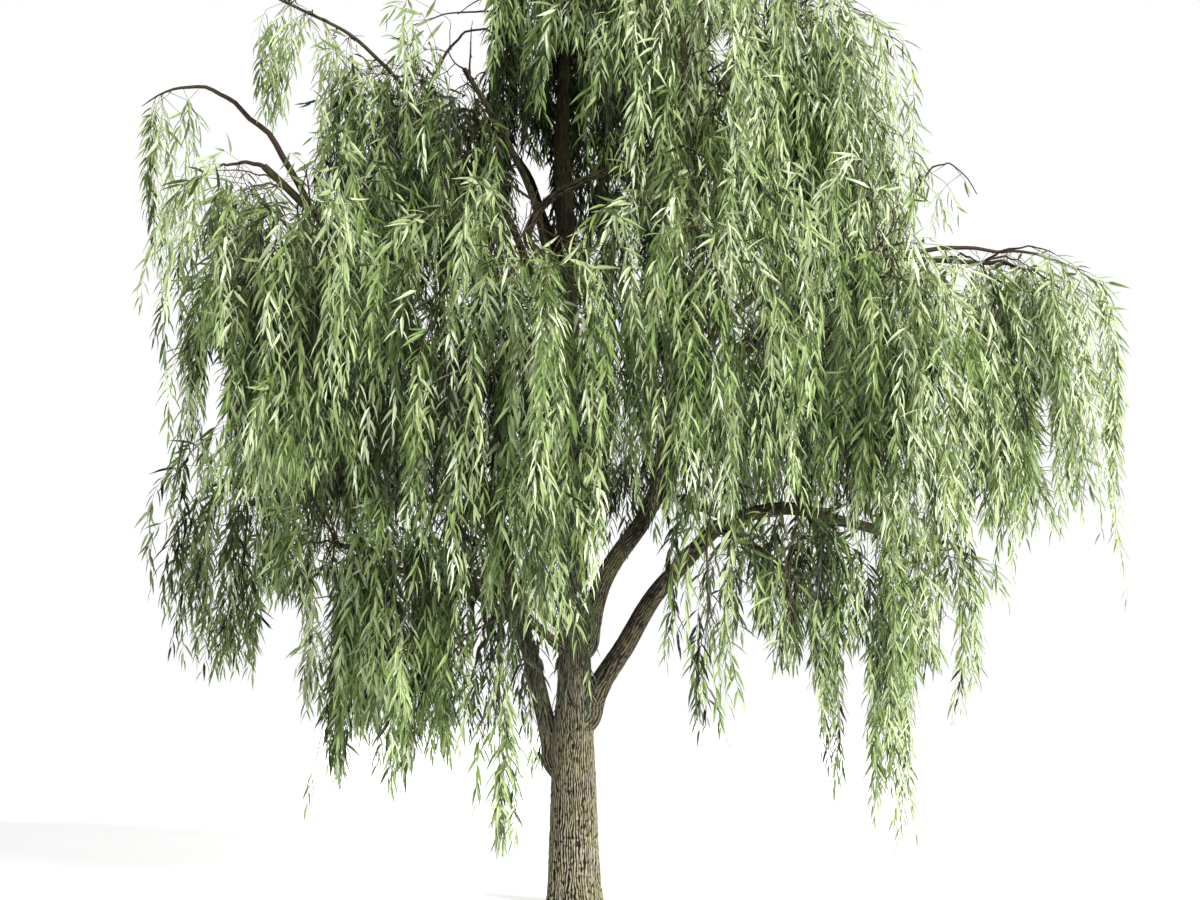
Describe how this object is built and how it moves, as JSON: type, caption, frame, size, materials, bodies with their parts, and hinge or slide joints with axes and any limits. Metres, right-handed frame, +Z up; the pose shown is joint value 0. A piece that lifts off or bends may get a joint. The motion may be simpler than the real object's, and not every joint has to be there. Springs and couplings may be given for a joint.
{
  "type": "weeping willow tree",
  "caption": "Whole weeping willow tree: flared trunk with rising boughs and hanging masses of narrow leaves, fixed in the ground.",
  "frame": {"origin": "middle of the flat cut under the trunk, at ground level", "axes": "+Z up the trunk, +X to the right and -Y to the front of the tree as usually viewed"},
  "size_m": [7.277, 6.1636, 8],
  "materials": {
    "trunk_bark": "rough ridged bark",
    "bough_bark": "dull fissured bark",
    "foliage": "matt grey-green leaf"
  },
  "bodies": {
    "root": {"bough_back_left": "bough_bark", "bough_back_right": "bough_bark", "bough_front_left": "bough_bark", "bough_front_right": "bough_bark", "bough_hub": "bough_bark", "bough_low_back_left": "bough_bark", "bough_low_back_right": "bough_bark", "bough_low_front": "bough_bark", "bough_low_front_left": "bough_bark", "bough_low_front_right": "bough_bark", "bough_low_left": "bough_bark", "bough_low_left_front": "bough_bark", "bough_low_right_front": "bough_bark", "bough_right_arm": "bough_bark", "bough_right_front": "bough_bark", "bough_tress": "bough_bark", "bough_upper_back_left": "bough_bark", "bough_upper_back_right": "bough_bark", "bough_upper_front_left": "bough_bark", "bough_upper_left": "bough_bark", "foliage_back": "foliage", "foliage_back_left": "foliage", "foliage_back_right": "foliage", "foliage_front": "foliage", "foliage_front_left": "foliage", "foliage_front_right": "foliage", "foliage_left": "foliage", "foliage_left_shoulder": "foliage", "foliage_low_back_left": "foliage", "foliage_low_back_right": "foliage", "foliage_low_front": "foliage", "foliage_low_front_left": "foliage", "foliage_low_front_right": "foliage", "foliage_low_left": "foliage", "foliage_low_left_front": "foliage", "foliage_low_right": "foliage", "foliage_low_right_far": "foliage", "foliage_low_right_front": "foliage", "foliage_right_arm": "foliage", "foliage_right_front": "foliage", "foliage_right_shoulder": "foliage", "foliage_top": "foliage", "foliage_tress": "foliage", "foliage_upper_back_left": "foliage", "foliage_upper_back_right": "foliage", "foliage_upper_front_left": "foliage", "foliage_upper_front_right": "foliage", "foliage_upper_left": "foliage", "foliage_upper_right": "foliage", "limb_back": "bough_bark", "limb_front": "bough_bark", "limb_inner": "bough_bark", "limb_left": "bough_bark", "limb_right": "bough_bark", "trunk": "trunk_bark"}
  },
  "joints": []
}
